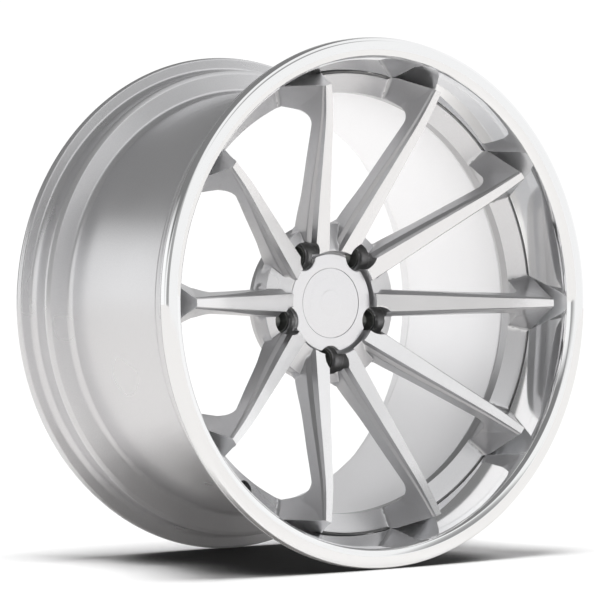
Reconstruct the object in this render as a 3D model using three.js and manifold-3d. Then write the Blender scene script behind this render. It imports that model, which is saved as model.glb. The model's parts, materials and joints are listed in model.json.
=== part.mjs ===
// Two-piece forged wheel, 20 x 10.5 in: barrel, ten-spoke centre disc, polished lip cover,
// centre cap and recessed tyre valve. Millimetres. The wheel's axis is Y, its street face looks
// along -Y, +Z is up, and the origin is the middle of the wheel's overall width.
import * as THREE from 'three';
import { mergeVertices } from 'three/addons/utils/BufferGeometryUtils.js';
import Module from 'manifold-3d';

const wasm = await Module();
wasm.setup();

// ---------------------------------------------------------------- driving dimensions
// A "depth" is measured back from the wheel's frontmost plane.
const WIDTH = 289;            // overall width
const FLANGE_R = 271.5;       // rim flange radius
const BEAD_R = 254;           // bead seat radius
const DROP_R = 229;           // outside of the drop centre
const DROP_INNER_R = 222.5;   // inside of the barrel
const GAP = 0.4;              // clearance between neighbouring pieces
const SHEET = 1.5;            // lip cover thickness
const LIP_END_R = 240;        // inner end of the lip cover's bore
const LIP_END_DEPTH = 53.8;
const SHELF_R = 219;          // inner edge of the disc's outer ring
const SHELF_DEPTH = 66;
const SPOKES = 10;
const TIP_R = 231;
const TIP_DEPTH = 6;
const HUB_FACE_DEPTH = 134.5; // mounting pad
const WEB_R = 84;             // where the windows start
const RECESS_R = 54.7;        // cap recess
const RECESS_DEPTH = 102.5;
const LUGS = 5;
const LUG_CIRCLE_R = 60;
const LUG_POCKET_R = 14.5;
const LUG_SEAT_DEPTH = 112;
const LUG_FIRST_DEG = -90;
const CAP_BORE_R = 36.3;
const HUB_BORE_R = 38.9;
const SPIGOT_R = 36.28;
const CAP_R = 51.7;
const CAP_DEPTH = 97;
const EMBLEM_R = 36.4;
const VALVE_DEG = 234;
const VALVE_R = 230.5;        // where the valve's axis crosses the ring's shelf
const VALVE_TILT_DEG = 35;
const ROUND = 48;             // facets round the wheel
const SMALL_ROUND = 16;

const DEG = Math.PI / 180;
const yOf = (depth) => depth - WIDTH / 2;

// ---------------------------------------------------------------- materials
function paint(color, roughness, metalness) {
  return new THREE.MeshStandardMaterial({ color, roughness, metalness });
}

const silverPaint = () => paint(0xc2c3c7, 0.38, 0.6);
const machinedSilver = () => paint(0xdcdde2, 0.3, 0.7);
const chrome = () => paint(0xf2f3f5, 0.06, 1);
const darkSteel = () => paint(0x6b6a68, 0.4, 0.9);
const capSilver = () => paint(0xe9e9ee, 0.35, 0.4);
const springSteel = () => paint(0x9a9ca0, 0.3, 1);
const aluminium = () => paint(0xb9bbbf, 0.4, 0.9);
const brass = () => paint(0xb08d4a, 0.35, 1);
const blackAnodised = () => paint(0x3a3a3d, 0.45, 0.6);
const rubber = () => paint(0x1b1b1c, 0.85, 0);
const adhesive = () => paint(0x8d8f92, 0.8, 0);

// ---------------------------------------------------------------- solid helpers
/** Turned solid from [radius, depth] points; the outline closes on itself or runs axis to axis. */
function turned(outline, segments, { closed = true } = {}) {
  const points = outline.map(([r, depth]) => new THREE.Vector2(r, yOf(depth)));
  let area = 0;
  points.forEach((p, i) => {
    const q = points[(i + 1) % points.length];
    area += p.x * q.y - q.x * p.y;
  });
  if (area < 0) points.reverse();
  if (closed) points.push(points[0].clone());
  const geometry = new THREE.LatheGeometry(points, segments, Math.PI / segments);
  return toManifold(geometry);
}

function toManifold(geometry) {
  const bare = geometry.clone();
  bare.deleteAttribute('normal');
  bare.deleteAttribute('uv');
  const welded = mergeVertices(bare, 1e-4);
  const triangles = [];
  const index = welded.index.array;
  for (let i = 0; i < index.length; i += 3) {
    const [a, b, c] = [index[i], index[i + 1], index[i + 2]];
    if (a !== b && b !== c && c !== a) triangles.push(a, b, c);
  }
  return new wasm.Manifold(new wasm.Mesh({
    numProp: 3,
    vertProperties: new Float32Array(welded.attributes.position.array),
    triVerts: new Uint32Array(triangles),
  }));
}

function toGeometry(solid) {
  const mesh = solid.getMesh();
  const geometry = new THREE.BufferGeometry();
  geometry.setAttribute('position', new THREE.BufferAttribute(new Float32Array(mesh.vertProperties), 3));
  geometry.setIndex(new THREE.BufferAttribute(new Uint32Array(mesh.triVerts), 1));
  return geometry;
}

/** Round bar about the wheel's axis direction, centred at (x, z), between two depths. */
function bar(radius, fromDepth, toDepth, x = 0, z = 0, segments = SMALL_ROUND) {
  const length = toDepth - fromDepth;
  const geometry = new THREE.CylinderGeometry(radius, radius, length, segments);
  geometry.translate(x, yOf(fromDepth) + length / 2, z);
  return toManifold(geometry);
}

function node(name, solid, material) {
  const flat = toGeometry(solid);
  const mesh = new THREE.Mesh(flat, material);
  mesh.name = name;
  return mesh;
}

// ---------------------------------------------------------------- valve frame
const shelfDepth = (r) => LIP_END_DEPTH + 0.8
  + ((LIP_END_R + 0.2 - r) * (SHELF_DEPTH - LIP_END_DEPTH - 0.8)) / (LIP_END_R + 0.2 - SHELF_R);

/** Places a solid turned about its own Y (Y runs from the shelf towards the tyre side). */
function valveMatrix() {
  const angle = VALVE_DEG * DEG;
  const tilt = VALVE_TILT_DEG * DEG;
  const radial = new THREE.Vector3(Math.cos(angle), 0, Math.sin(angle));
  const along = radial.clone().multiplyScalar(Math.sin(tilt)).add(new THREE.Vector3(0, Math.cos(tilt), 0));
  const side = new THREE.Vector3(-Math.sin(angle), 0, Math.cos(angle));
  const third = new THREE.Vector3().crossVectors(side, along);
  const origin = radial.clone().multiplyScalar(VALVE_R).setY(yOf(shelfDepth(VALVE_R)));
  return new THREE.Matrix4().makeBasis(side, along, third).setPosition(origin);
}

const VALVE_MATRIX = valveMatrix();

/** Turned valve piece from [radius, distance past the shelf] points. */
function valveTurned(outline, segments = SMALL_ROUND, closed = true) {
  const local = turned(outline.map(([r, t]) => [r, t + WIDTH / 2]), segments, { closed });
  return local.transform(VALVE_MATRIX.toArray());
}

function valveBar(radius, from, to, segments = SMALL_ROUND) {
  return valveTurned([[0, from], [radius, from], [radius, to], [0, to]], segments, false);
}

// ---------------------------------------------------------------- barrel
const BARREL_OUTSIDE = [
  [0, 2.1], [267.2, 2.1], [269.4, 4.9], [269.4, 9.6], [271.2, 9.9], [271.2, 12.2], [258, 14],
  [BEAD_R, 19], [BEAD_R, 37], [BEAD_R + 1.4, 41], [253.8, 46], [230, 77], [DROP_R, 82],
  [DROP_R, 239], [232, 244], [252, 249.5], [BEAD_R + 1.4, 252], [BEAD_R, 256.5], [BEAD_R, 271],
  [258, 275.5], [FLANGE_R, 277.5], [FLANGE_R, 285], [267, WIDTH], [0, WIDTH],
];
const BARREL_INSIDE = [
  [0, -5], [258, -5], [258, 2.1], [254.2, 3.6], [252, 6.7], [250.5, 12.5], [241.9, 54.4],
  [240.6, 55.4], [240.6, 57.4], [229.9, 70.6], [226, 77.5], [DROP_INNER_R, 84],
  [DROP_INNER_R, 243], [226, 249.5], [245, 255.5], [247.5, 262], [247, 286], [249, WIDTH],
  [249, WIDTH + 5], [0, WIDTH + 5],
];
const ADHESIVE_GROOVE = [[260, -1], [264, -1], [264, 3.4], [260, 3.4]];
const VALVE_COUNTERBORE_R = 8.5;
const VALVE_SEAT = 7;         // nut side seat, distance past the shelf
const VALVE_BOSS_END = 11;    // tyre side seat
const STEM_R = 3.8;

function barrel() {
  const boss = valveBar(9.5, VALVE_SEAT, VALVE_BOSS_END, 24);
  const solid = turned(BARREL_OUTSIDE, ROUND, { closed: false })
    .add(boss)
    .subtract(turned(BARREL_INSIDE, ROUND, { closed: false }))
    .subtract(turned(ADHESIVE_GROOVE, ROUND))
    .subtract(valveBar(7.8, VALVE_BOSS_END, 26, 24))
    .subtract(valveBar(VALVE_COUNTERBORE_R, -14, VALVE_SEAT, 24))
    .subtract(valveBar(STEM_R + GAP, 0, 20));
  return node('barrel', solid, silverPaint());
}

// ---------------------------------------------------------------- lip cover and its bonding bead
function chromeLip() {
  const face = [
    [LIP_END_R, LIP_END_DEPTH], [248.4, 12], [250, 6], [252.6, 2.2], [257.5, 0], [267, 0],
    [270.3, 1.4], [FLANGE_R, 4.4], [FLANGE_R, 9.2],
  ];
  const back = [
    [269.9, 9.2], [269.9, 4.5], [267.5, 1.6], [257.8, 1.6], [253.8, 3.2], [251.5, 6.4],
    [250, 12.3], [LIP_END_R + SHEET, LIP_END_DEPTH],
  ];
  return node('chrome_lip', turned([...face, ...back], ROUND), chrome());
}

function lipAdhesive() {
  const bead = [[260.3, 1.95], [263.7, 1.95], [263.7, 3.1], [260.3, 3.1]];
  return node('lip_adhesive', turned(bead, ROUND), adhesive());
}

// ---------------------------------------------------------------- centre disc
/** Spoke sections, hub to tip: face depth and half width, facet drop, ledge width, back edge. */
const SPOKE_SECTIONS = [
  { r: 44, face: 94, half: 9.6, drop: 7, ledge: 4, back: 122, backHalf: 14.5 },
  { r: WEB_R, face: 74.5, half: 8.4, drop: 8.5, ledge: 4, back: 108, backHalf: 14.5 },
  { r: 125, face: 54.3, half: 7, drop: 7.2, ledge: 3.5, back: 80, backHalf: 13 },
  { r: 160, face: 36.6, half: 5.8, drop: 5.4, ledge: 2.6, back: 58.6, backHalf: 11.7 },
  { r: 200, face: 17, half: 4.6, drop: 3.6, ledge: 1.6, back: 33.5, backHalf: 10.6 },
];
const TIP_SECTION = { r: TIP_R, face: TIP_DEPTH, half: 3.6, drop: 2.2, ledge: 0.8, back: 20, backHalf: 8 };
const END_WALL_SLOPE = 9 / 48;   // radius gained per depth down a spoke's end wall

function sectionPoints(s, slope = 0) {
  const side = [
    [s.half, s.face],
    [s.half + 1, s.face + s.drop],
    [s.half + 1 + s.ledge, s.face + s.drop + s.ledge],
    [s.backHalf, s.back],
  ];
  const ring = [...side, ...side.slice().reverse().map(([h, depth]) => [-h, depth])];
  return ring.map(([h, depth]) => [s.r + slope * (depth - s.face), h, depth]);
}

/** Hull or loft points [radius, across, depth] turned to the spoke's angle. */
function atAngle([r, across, depth], degrees) {
  const c = Math.cos(degrees * DEG);
  const s = Math.sin(degrees * DEG);
  return [r * c - across * s, yOf(depth), r * s + across * c];
}

/** Closed skin over sections that all have the same number of points, with a fan at each end. */
function loft(sections) {
  const count = sections[0].length;
  const last = sections.length - 1;
  const middle = (ring) => [0, 1, 2].map((k) => ring.reduce((sum, p) => sum + p[k], 0) / count);
  const vertices = [...sections.flat(), middle(sections[0]), middle(sections[last])].flat();
  const firstCap = sections.length * count;
  const triangles = [];
  for (let j = 0; j < count; j += 1) {
    const next = (j + 1) % count;
    for (let i = 0; i < last; i += 1) {
      const [a, b] = [i * count + j, i * count + next];
      triangles.push(a, b + count, b, a, a + count, b + count);
    }
    triangles.push(firstCap, j, next, firstCap + 1, last * count + next, last * count + j);
  }
  return new wasm.Manifold(new wasm.Mesh({
    numProp: 3,
    vertProperties: new Float32Array(vertices),
    triVerts: new Uint32Array(triangles),
  }));
}

function spokeBar(degrees) {
  const stations = SPOKE_SECTIONS.map((s) => sectionPoints(s));
  stations.push(sectionPoints(TIP_SECTION, END_WALL_SLOPE));
  return loft(stations.map((ring) => ring.map((p) => atAngle(p, degrees))));
}

/** The flared post that carries a spoke's tip on the outer ring. */
function spokeFoot(degrees) {
  const corners = [];
  for (const side of [-1, 1]) {
    corners.push([TIP_R - 1, 4 * side, 8], [206, 6.5 * side, 20], [207, 11 * side, 31]);
    corners.push([238.6, 15.3 * side, 55.2], [219.6, 14.6 * side, 66.4]);
    corners.push([234, 15.3 * side, 62], [220, 14.6 * side, 70]);
  }
  return wasm.Manifold.hull(corners.map((p) => atAngle(p, degrees)));
}

function outerRing() {
  return turned([
    [LIP_END_R + 0.2, LIP_END_DEPTH + 0.8], [LIP_END_R + 0.2, 57], [229.4, 70.4], [226.2, 75.8],
    [222, 76], [SHELF_R, 73], [SHELF_R, SHELF_DEPTH],
  ], ROUND);
}

function hubBlock() {
  return turned([
    [20, 93], [RECESS_R, 93], [WEB_R, 99], [WEB_R, 121], [79, HUB_FACE_DEPTH], [20, HUB_FACE_DEPTH],
  ], ROUND);
}

function lugCentres() {
  return Array.from({ length: LUGS }, (_, i) => {
    const angle = (LUG_FIRST_DEG + (360 / LUGS) * i) * DEG;
    return [LUG_CIRCLE_R * Math.cos(angle), LUG_CIRCLE_R * Math.sin(angle)];
  });
}

const SEAT_OUTER_R = 13.25;
const SEAT_BACK_DEPTH = 127.6;
const BOLT_HOLE_R = 7.25;

function centreDisc() {
  const parts = [outerRing(), hubBlock()];
  for (let i = 0; i < SPOKES; i += 1) {
    parts.push(spokeBar((360 / SPOKES) * i), spokeFoot((360 / SPOKES) * i));
  }
  let solid = wasm.Manifold.union(parts)
    .subtract(turned([[0, 40], [RECESS_R, 40], [RECESS_R, RECESS_DEPTH], [0, RECESS_DEPTH]], ROUND,
      { closed: false }))
    .subtract(bar(CAP_BORE_R, 90, 140, 0, 0, 48))
    .subtract(bar(HUB_BORE_R, 118, 140, 0, 0, 48))
    .subtract(bar(41.5, 132.6, 140, 0, 0, 48))
    .subtract(valveBar(VALVE_COUNTERBORE_R, -14, 20, 24));
  for (const [x, z] of lugCentres()) {
    solid = solid
      .subtract(bar(LUG_POCKET_R, 40, LUG_SEAT_DEPTH, x, z, 24))
      .subtract(bar(SEAT_OUTER_R + 0.35, 100, SEAT_BACK_DEPTH + GAP, x, z, 24))
      .subtract(bar(BOLT_HOLE_R + 0.5, 100, 140, x, z));
  }
  return node('centre_disc', solid.simplify(0.02), machinedSilver());
}

function weldSeam() {
  const bead = [[225.3, 76.9], [220.8, 76.5], [220.6, 78.5], [222.1, 83]];
  return node('weld_seam', turned(bead, ROUND), aluminium());
}

// ---------------------------------------------------------------- hub fittings
function lugSeats() {
  const outline = [
    [11.2, LUG_SEAT_DEPTH + GAP], [SEAT_OUTER_R, LUG_SEAT_DEPTH + GAP],
    [SEAT_OUTER_R, SEAT_BACK_DEPTH], [BOLT_HOLE_R, SEAT_BACK_DEPTH], [BOLT_HOLE_R, 119],
  ];
  return lugCentres().map(([x, z], i) => {
    const solid = turned(outline, SMALL_ROUND + 8).translate([x, 0, z]);
    return node(`lug_seat_${i + 1}`, solid, darkSteel());
  });
}

function hubRing() {
  const outline = [
    [SPIGOT_R, 121], [HUB_BORE_R - 0.35, 121], [HUB_BORE_R - 0.35, 132.9], [41.1, 132.9],
    [41.1, 134.2], [SPIGOT_R, 134.2],
  ];
  return node('hub_ring', turned(outline, 48), aluminium());
}

// ---------------------------------------------------------------- centre cap
const SKIRT_R = 35.6;
const SKIRT_END = 115;
const CAP_LEGS = 6;

function capShell() {
  const body = turned([
    [0, CAP_DEPTH + 2], [EMBLEM_R + 0.5, CAP_DEPTH + 2], [EMBLEM_R + 0.5, CAP_DEPTH + 0.2],
    [50.5, CAP_DEPTH], [CAP_R, CAP_DEPTH + 1], [CAP_R, 102], [SKIRT_R, 102.1],
    [SKIRT_R, SKIRT_END], [33.2, SKIRT_END], [33.2, 102.4], [0, 102.4],
  ], 48, { closed: false });
  let solid = body;
  for (const [x, z] of lugCentres()) {
    solid = solid.subtract(bar(LUG_POCKET_R + 0.3, 90, 110, x, z, 24));
  }
  for (let i = 0; i < CAP_LEGS; i += 1) {
    const slot = new THREE.BoxGeometry(12, 20, 9);
    slot.translate(34, yOf(104.5) + 10, 0);
    slot.rotateY(((i + 0.5) * 2 * Math.PI) / CAP_LEGS);
    solid = solid.subtract(toManifold(slot));
  }
  return node('cap_shell', solid, capSilver());
}

function capEmblem() {
  const outline = [
    [0, CAP_DEPTH - 0.6], [22, CAP_DEPTH - 0.4], [EMBLEM_R - 1, CAP_DEPTH], [EMBLEM_R, CAP_DEPTH + 0.6],
    [EMBLEM_R, CAP_DEPTH + 1.6], [0, CAP_DEPTH + 1.6],
  ];
  return node('cap_emblem', turned(outline, 48, { closed: false }), capSilver());
}

function capWireRing() {
  const wire = new THREE.TorusGeometry(32, 0.8, 8, 48);
  wire.rotateX(Math.PI / 2);
  wire.translate(0, yOf(110), 0);
  return node('cap_wire_ring', toManifold(wire), springSteel());
}

// ---------------------------------------------------------------- tyre valve
const STEM_TIP = -0.6;
const STEM_BORE_R = 2.8;

function valveStem() {
  const solid = valveTurned([
    [STEM_BORE_R, STEM_TIP], [STEM_R, STEM_TIP], [STEM_R, 12.8], [7, 12.8], [7, 15], [4.6, 15],
    [4.6, 19], [STEM_BORE_R, 19],
  ]);
  return node('valve_stem', solid, aluminium());
}

function valveGrommet() {
  const solid = valveTurned([[4.2, 11.3], [6.9, 11.3], [6.9, 12.5], [4.2, 12.5]]);
  return node('valve_grommet', solid, rubber());
}

function valveWasher() {
  const solid = valveTurned([[4.2, 6.1], [7.3, 6.1], [7.3, 6.7], [4.2, 6.7]]);
  return node('valve_washer', solid, springSteel());
}

function valveNut() {
  const solid = valveTurned([[0, 3.3], [6.93, 3.3], [6.93, 5.8], [0, 5.8]], 6, false)
    .subtract(valveBar(STEM_R + 0.35, 0, 10));
  return node('valve_nut', solid, blackAnodised());
}

function valveCoreBody() {
  const solid = valveTurned([
    [1.75, -0.2], [2.4, -0.2], [2.4, 9.5], [0.95, 9.5], [0.95, 8], [1.75, 8],
  ], 12);
  return node('valve_core_body', solid, brass());
}

function valveCorePin() {
  const solid = valveTurned([
    [0, -0.5], [0.6, -0.5], [0.6, 1.6], [1.4, 1.6], [1.4, 2.2], [0.6, 2.2], [0.6, 9.8],
    [2.1, 9.8], [2.1, 11.2], [0, 11.2],
  ], 12, false);
  return node('valve_core_pin', solid, brass());
}

class Helix extends THREE.Curve {
  constructor(radius, from, to, turns) {
    super();
    Object.assign(this, { radius, from, to, turns });
  }

  getPoint(u, target = new THREE.Vector3()) {
    const angle = u * this.turns * 2 * Math.PI;
    return target.set(
      this.radius * Math.cos(angle),
      this.from + (this.to - this.from) * u,
      this.radius * Math.sin(angle),
    );
  }
}

function valveCoreSpring() {
  const wire = new THREE.Shape();
  wire.absarc(0, 0, 0.2, 0, 2 * Math.PI);
  const coil = new THREE.ExtrudeGeometry(wire, {
    steps: 60, curveSegments: 3, bevelEnabled: false, extrudePath: new Helix(1.17, 2.7, 7.5, 6),
  });
  return node('valve_core_spring', toManifold(coil).transform(VALVE_MATRIX.toArray()), springSteel());
}

function valveCap() {
  const solid = valveTurned([
    [0, -3.4], [4.2, -3.4], [4.9, -2.7], [4.9, 2.9], [4.2, 2.9], [4.2, -2.2], [0, -2.2],
  ], SMALL_ROUND, false);
  return node('valve_cap', solid, blackAnodised());
}

function valveCapSeal() {
  return node('valve_cap_seal', valveBar(3.8, -1.9, -0.95), rubber());
}

// ---------------------------------------------------------------- assembly
const wheel = new THREE.Group();
wheel.name = 'wheel';
wheel.add(
  barrel(),
  chromeLip(),
  lipAdhesive(),
  centreDisc(),
  weldSeam(),
  ...lugSeats(),
  hubRing(),
  capShell(),
  capEmblem(),
  capWireRing(),
  valveStem(),
  valveGrommet(),
  valveWasher(),
  valveNut(),
  valveCoreBody(),
  valveCorePin(),
  valveCoreSpring(),
  valveCap(),
  valveCapSeal(),
);

export default wheel;
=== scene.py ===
"""Looks for the two-piece forged wheel: fine meshes, procedural materials, studio and camera.

The wheel's axis is Y, its street face looks along -Y and +Z is up. Outlines are written in
millimetres as (radius, depth), where depth is measured back from the wheel's frontmost plane.
"""
import json
import math

import bpy
import numpy as np
from mathutils import Matrix, Vector

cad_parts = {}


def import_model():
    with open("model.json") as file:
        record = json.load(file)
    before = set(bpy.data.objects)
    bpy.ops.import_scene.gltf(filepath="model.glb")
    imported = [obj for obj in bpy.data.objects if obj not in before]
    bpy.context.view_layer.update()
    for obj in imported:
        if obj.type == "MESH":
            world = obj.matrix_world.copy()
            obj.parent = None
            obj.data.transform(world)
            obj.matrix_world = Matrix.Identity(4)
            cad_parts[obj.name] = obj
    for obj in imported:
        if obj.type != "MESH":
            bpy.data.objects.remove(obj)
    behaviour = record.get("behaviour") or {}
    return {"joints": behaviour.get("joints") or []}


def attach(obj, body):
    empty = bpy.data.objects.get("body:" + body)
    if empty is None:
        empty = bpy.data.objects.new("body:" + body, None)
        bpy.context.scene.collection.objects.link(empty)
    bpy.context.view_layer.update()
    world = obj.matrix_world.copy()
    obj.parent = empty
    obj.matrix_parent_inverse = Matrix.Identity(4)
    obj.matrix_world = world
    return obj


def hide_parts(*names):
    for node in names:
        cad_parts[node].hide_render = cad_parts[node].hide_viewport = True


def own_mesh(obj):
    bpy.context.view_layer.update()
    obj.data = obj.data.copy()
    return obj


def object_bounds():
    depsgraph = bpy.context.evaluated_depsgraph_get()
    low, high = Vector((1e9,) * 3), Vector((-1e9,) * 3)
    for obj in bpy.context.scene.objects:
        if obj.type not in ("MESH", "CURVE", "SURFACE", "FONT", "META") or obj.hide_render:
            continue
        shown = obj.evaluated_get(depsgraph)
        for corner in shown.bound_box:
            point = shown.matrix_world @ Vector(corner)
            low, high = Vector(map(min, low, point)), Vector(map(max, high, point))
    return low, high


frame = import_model()
cad_low, cad_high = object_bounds()

# ---------------------------------------------------------------- driving dimensions, mm
MM = 0.001
FRONT_Y = cad_low.y / MM
WIDTH = (cad_high.y - cad_low.y) / MM
FLANGE_R = (cad_high.z - cad_low.z) / MM / 2
BEAD_R = 254
DROP_R = 229
DROP_INNER_R = 222.5
SHEET = 1.5
LIP_END_R = 240
LIP_END_DEPTH = 53.8
SHELF_R = 219
SHELF_DEPTH = 66
RING_R = LIP_END_R + 0.2
RING_DEPTH = LIP_END_DEPTH + 0.8
RING_END_DEPTH = 76
TIP_R = 231
HUB_FACE_DEPTH = 134.5
WEB_R = 84
RECESS_R = 54.7
RECESS_DEPTH = 102.5
LUG_CIRCLE_R = 60
LUG_POCKET_R = 14.5
LUG_SEAT_DEPTH = 112
LUG_SEAT_BORE_R = 13.6
LUG_SEAT_END = 128
LUG_HOLE_R = 7.75
CAP_BORE_R = 36.3
HUB_BORE_R = 38.9
HUB_BORE_DEPTH = 118
HUB_RING_BORE_R = 41.5
HUB_RING_DEPTH = 132.6
CAP_R = 51.7
CAP_DEPTH = 97
CAP_PLATE_END = 102
EMBLEM_R = 36.4
CAP_COVER_INNER_R = 31
VALVE_COUNTERBORE_R = 8.5
VALVE_SEAT_R = 7.8
VALVE_SEAT_DEPTH = 11
STEM_R = 3.8
SPOKES = 10
HALF_PITCH_DEG = 180 / SPOKES
FIRST_LUG_DEG = -HALF_PITCH_DEG
LUG_PITCH_DEG = 72

ROUND = 240          # facets round the wheel
SMALL_ROUND = 72     # facets round a small piece
CREASE_DEG = 28


# ---------------------------------------------------------------- mesh helpers
def new_object(name, vertices, faces, body, material, replaces=()):
    """A mesh piece from points in millimetres, riding on a CAD body."""
    mesh = bpy.data.meshes.new(name)
    mesh.from_pydata((np.asarray(vertices) * MM).tolist(), [], faces)
    mesh.validate()
    piece = bpy.data.objects.new(name, mesh)
    bpy.context.scene.collection.objects.link(piece)
    shade(mesh)
    mesh.materials.append(material)
    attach(piece, body)
    if replaces:
        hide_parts(*replaces)
    return piece


def shade(mesh):
    """Smooth shading that breaks at the edges."""
    mesh.polygons.foreach_set("use_smooth", np.ones(len(mesh.polygons), bool))
    mesh.set_sharp_from_angle(angle=math.radians(CREASE_DEG))
    mesh.update()


def rounded(outline, closed=True, arc_step_deg=12):
    """Outline points (radius, depth, corner radius), with each corner turned into an arc."""
    count = len(outline)
    made = []
    for i, entry in enumerate(outline):
        corner = np.array(entry[:2], float)
        size = entry[2] if len(entry) > 2 else 0
        at_end = not closed and i in (0, count - 1)
        if size <= 0 or at_end:
            made.append(corner)
            continue
        before = np.array(outline[i - 1][:2], float) - corner
        after = np.array(outline[(i + 1) % count][:2], float) - corner
        reach = 0.48 * min(np.linalg.norm(before), np.linalg.norm(after))
        before /= np.linalg.norm(before)
        after /= np.linalg.norm(after)
        opening = math.acos(np.clip(before @ after, -1, 1))
        if opening > math.radians(179):
            made.append(corner)
            continue
        tangent = min(size / math.tan(opening / 2), reach)
        radius = tangent * math.tan(opening / 2)
        middle = (before + after) / np.linalg.norm(before + after)
        centre = corner + middle * radius / math.sin(opening / 2)
        start = corner + before * tangent - centre
        turn = math.pi - opening
        turn *= np.sign(start[0] * (after[1] - before[1]) - start[1] * (after[0] - before[0]))
        steps = max(2, math.ceil(abs(math.degrees(turn)) / arc_step_deg))
        for step in range(steps + 1):
            c, s = math.cos(turn * step / steps), math.sin(turn * step / steps)
            made.append(centre + [c * start[0] - s * start[1], s * start[0] + c * start[1]])
    return made


def revolved(outline, segments, closed=True):
    """Vertices and faces of an outline turned about Y. An open outline starts and ends on the axis."""
    points = [(float(r), float(depth)) for r, depth in outline]
    vertices, rows = [], []
    for r, depth in points:
        if r < 1e-6:
            rows.append([len(vertices)] * segments)
            vertices.append((0, FRONT_Y + depth, 0))
            continue
        rows.append(range(len(vertices), len(vertices) + segments))
        for k in range(segments):
            angle = 2 * math.pi * k / segments
            vertices.append((r * math.cos(angle), FRONT_Y + depth, r * math.sin(angle)))
    area = sum(p[0] * q[1] - q[0] * p[1] for p, q in zip(points, points[1:] + points[:1]))
    faces = []
    for i in range(len(rows) if closed else len(rows) - 1):
        here, there = rows[i], rows[(i + 1) % len(rows)]
        for k in range(segments):
            n = (k + 1) % segments
            face = list(dict.fromkeys([here[k], here[n], there[n], there[k]]))
            if len(face) > 2:
                faces.append(face if area < 0 else face[::-1])
    return vertices, faces


def moved(vertices, matrix):
    """Points turned and shifted by a matrix in millimetres."""
    points = np.asarray(vertices, float)
    return points @ np.array(matrix.to_3x3()).T + np.array(matrix.translation)


def cut(piece, vertices, faces):
    """Takes a closed cutter, in millimetres, out of a piece."""
    mesh = bpy.data.meshes.new("cutter")
    mesh.from_pydata((np.asarray(vertices) * MM).tolist(), [], faces)
    cutter = bpy.data.objects.new("cutter", mesh)
    bpy.context.scene.collection.objects.link(cutter)
    boolean = piece.modifiers.new("cut", "BOOLEAN")
    boolean.operation = "DIFFERENCE"
    boolean.solver = "MANIFOLD"
    boolean.object = cutter
    graph = bpy.context.evaluated_depsgraph_get()
    result = bpy.data.meshes.new_from_object(piece.evaluated_get(graph), depsgraph=graph)
    piece.modifiers.clear()
    while len(result.materials) > 1:
        result.materials.pop()
    result.polygons.foreach_set("material_index", np.zeros(len(result.polygons), np.int32))
    piece.data = result
    bpy.data.objects.remove(cutter)
    shade(piece.data)


def cylinder(radius, near, far):
    return revolved([(0, near), (radius, near), (radius, far), (0, far)], SMALL_ROUND, closed=False)


def lug_places():
    """Centres of the bolt holes in the X-Z plane."""
    angles = [math.radians(FIRST_LUG_DEG + LUG_PITCH_DEG * i) for i in range(360 // LUG_PITCH_DEG)]
    return [(LUG_CIRCLE_R * math.cos(a), LUG_CIRCLE_R * math.sin(a)) for a in angles]


# ---------------------------------------------------------------- distance fields
def blend_corner(a, b, radius):
    """Union of two fields with a round fillet in the corner between them."""
    u = np.maximum(radius - a, 0)
    v = np.maximum(radius - b, 0)
    return np.maximum(radius, np.minimum(a, b)) - np.hypot(u, v)


def round_edge(a, b, radius):
    """Intersection of two fields with their common edge rounded."""
    u = np.maximum(radius + a, 0)
    v = np.maximum(radius + b, 0)
    return np.minimum(-radius, np.maximum(a, b)) + np.hypot(u, v)


def line_field(u, v, start, end):
    """Distance past the line start-end in the (u, v) plane, positive on its left."""
    (u0, v0), (u1, v1) = start, end
    length = np.hypot(u1 - u0, v1 - v0)
    return ((u - u0) * -(v1 - v0) + (v - v0) * (u1 - u0)) / length


def smooth_table(x, stations, column):
    """Smooth cubic curve through one column of the stations."""
    xs = np.array([s["r"] for s in stations], float)
    ys = np.array([s[column] for s in stations], float)
    slopes = np.gradient(ys, xs)
    i = np.clip(np.searchsorted(xs, x) - 1, 0, len(xs) - 2)
    step = xs[i + 1] - xs[i]
    t = np.clip((x - xs[i]) / step, 0, 1)
    low = (1 + 2 * t) * (1 - t) ** 2 * ys[i] + t * (1 - t) ** 2 * step * slopes[i]
    high = t * t * (3 - 2 * t) * ys[i + 1] + t * t * (t - 1) * step * slopes[i + 1]
    return low + high


SPOKE_STATIONS = [
    {"r": 44, "face": 94, "half": 9.6, "drop": 7, "ledge": 4, "back": 122, "back_half": 14.5},
    {"r": WEB_R, "face": 74.5, "half": 8.4, "drop": 8.5, "ledge": 4, "back": 108, "back_half": 14.5},
    {"r": 125, "face": 54.3, "half": 7, "drop": 7.2, "ledge": 3.5, "back": 80, "back_half": 13},
    {"r": 160, "face": 36.6, "half": 5.8, "drop": 5.4, "ledge": 2.6, "back": 58.6, "back_half": 11.7},
    {"r": 200, "face": 17, "half": 4.6, "drop": 3.6, "ledge": 1.6, "back": 33.5, "back_half": 10.6},
    {"r": 240, "face": 2.5, "half": 3.3, "drop": 1.9, "ledge": 0.7, "back": 15, "back_half": 8},
]
FACET_RUN = 1
FOOT_HALF = 15.3
FOOT_ARCH_R = 205
FOOT_ARCH_DEPTH = 30
ARCH_RADIUS = 14
WINDOW_CORNER_R = 9.5
WEB_CORNER_R = 1.5
END_WALL_SLOPE = 9 / 48
END_WALL_DEPTH = 6
RING_HEEL = (229.4, 70.4)
FACE_COSINE = 0.9        # these turn a height over a sloping surface into a distance from it
BELLY_COSINE = 0.85
WALL_COSINE = 0.98


def spoke_face(x, depth):
    """Distance in front of the spoke's face."""
    return (smooth_table(x, SPOKE_STATIONS, "face") - depth) * FACE_COSINE


def end_wall_radius(depth):
    """How far out a spoke's foot reaches, at a depth."""
    return TIP_R + (depth - END_WALL_DEPTH) * END_WALL_SLOPE


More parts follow.
